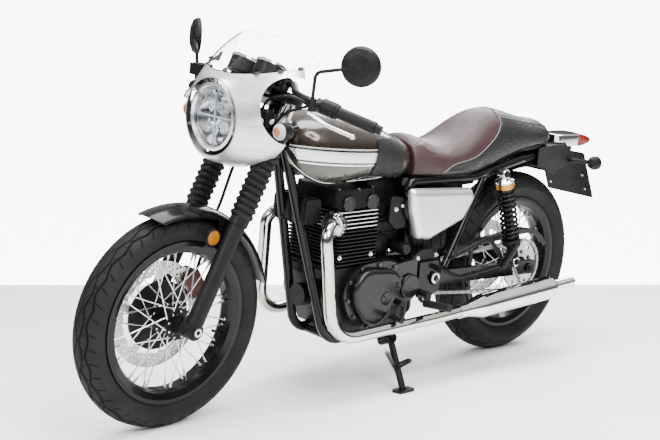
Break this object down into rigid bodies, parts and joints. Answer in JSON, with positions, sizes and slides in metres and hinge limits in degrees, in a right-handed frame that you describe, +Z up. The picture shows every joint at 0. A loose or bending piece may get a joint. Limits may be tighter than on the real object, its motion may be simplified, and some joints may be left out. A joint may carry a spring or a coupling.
{
  "type": "motorcycle",
  "caption": "Cafe racer motorcycle with a nose fairing, clear screen, round headlamp, long tank, humped single seat, upright finned engine and wire wheels, parked on its side stand.",
  "frame": {"origin": "On the floor under the middle of the whole machine's box, parked and leaning to its left on the side stand.", "axes": "+X is the way it rides, +Y is to the rider's left, +Z is up."},
  "size_m": [2.1743, 0.8372, 1.1889],
  "materials": {
    "amber": "amber",
    "black_paint": "satin black paint",
    "black_plastic": "black plastic",
    "bright_alloy": "satin alloy",
    "chrome": "polished chrome",
    "engine_black": "black coated castings with bright fin edges",
    "grey_plastic": "dark grey plastic",
    "leather": "stitched seat cover",
    "lens": "clear lens",
    "rubber": "black rubber",
    "screen": "clear moulded screen",
    "silver_paint": "satin silver paint on moulded panels",
    "smoke_lens": "clear lamp",
    "steel": "brushed steel",
    "tail_red": "red and clear lamp",
    "tank_paint": "dark bronze metallic paint",
    "tyre": "black tyre"
  },
  "bodies": {
    "frame": {"main_frame": "black_paint", "crankcase": "engine_black", "cylinder_block": "engine_black", "cylinder_head": "engine_black", "left_engine_covers": "engine_black", "right_engine_covers": "engine_black", "throttle_bodies": "bright_alloy", "header_pipes": "chrome", "mufflers": "chrome", "fuel_tank": "tank_paint", "filler_cap": "chrome", "knee_pads": "rubber", "seat": "leather", "side_covers": "silver_paint", "airbox": "black_plastic", "swingarm": "black_paint", "shock_absorbers": "black_paint", "rear_fender": "grey_plastic", "tail_lamp": "tail_red", "plate_holder": "black_plastic", "rear_indicators": "smoke_lens", "chain": "steel", "chain_guard": "grey_plastic", "rider_pegs": "rubber", "passenger_pegs": "black_paint", "pedals": "black_paint", "rear_caliper": "black_paint"},
    "steering": {"front_axle": "steel", "fork_sliders": "black_paint", "fork_tubes": "chrome", "fork_gaiters": "rubber", "lower_clamp": "black_paint", "upper_clamp": "bright_alloy", "handlebar": "black_paint", "grips": "rubber", "switchgear": "black_plastic", "levers": "bright_alloy", "mirrors": "black_plastic", "headlamp": "chrome", "headlamp_lens": "lens", "fairing": "silver_paint", "windscreen": "screen", "front_indicators": "smoke_lens", "instruments": "black_plastic", "front_fender": "black_paint", "front_caliper": "black_paint", "front_brake_hose": "rubber", "reflectors": "amber"},
    "front_wheel": {"front_tyre": "tyre", "front_rim": "black_paint", "front_spokes": "steel", "front_hub": "black_paint", "front_disc": "steel"},
    "rear_wheel": {"rear_tyre": "tyre", "rear_rim": "black_paint", "rear_spokes": "steel", "rear_hub": "black_paint", "rear_disc": "steel", "rear_sprocket": "steel"},
    "side_stand": {"side_stand": "black_paint"}
  },
  "joints": [
    {"name": "steering_head", "type": "hinge", "parent": "frame", "child": "steering", "pos_m": [0.46927, -0.01694, 0.80481], "axis": [-0.4384, 0.0947, 0.8938], "range_deg": [-38.75, 31.25]},
    {"name": "front_wheel_spin", "type": "hinge", "parent": "steering", "child": "front_wheel", "pos_m": [0.76969, -0.06512, 0.3162], "axis": [-0.0588, 0.9893, -0.1337], "continuous": true},
    {"name": "rear_wheel_spin", "type": "hinge", "parent": "frame", "child": "rear_wheel", "pos_m": [-0.6952, -0.06721, 0.33055], "axis": [0, 0.9944, -0.1054], "continuous": true},
    {"name": "stand_fold", "type": "hinge", "parent": "frame", "child": "side_stand", "pos_m": [-0.0102, 0.03526, 0.15879], "axis": [0, 0.9409, 0.3387], "range_deg": [0, 96]}
  ]
}
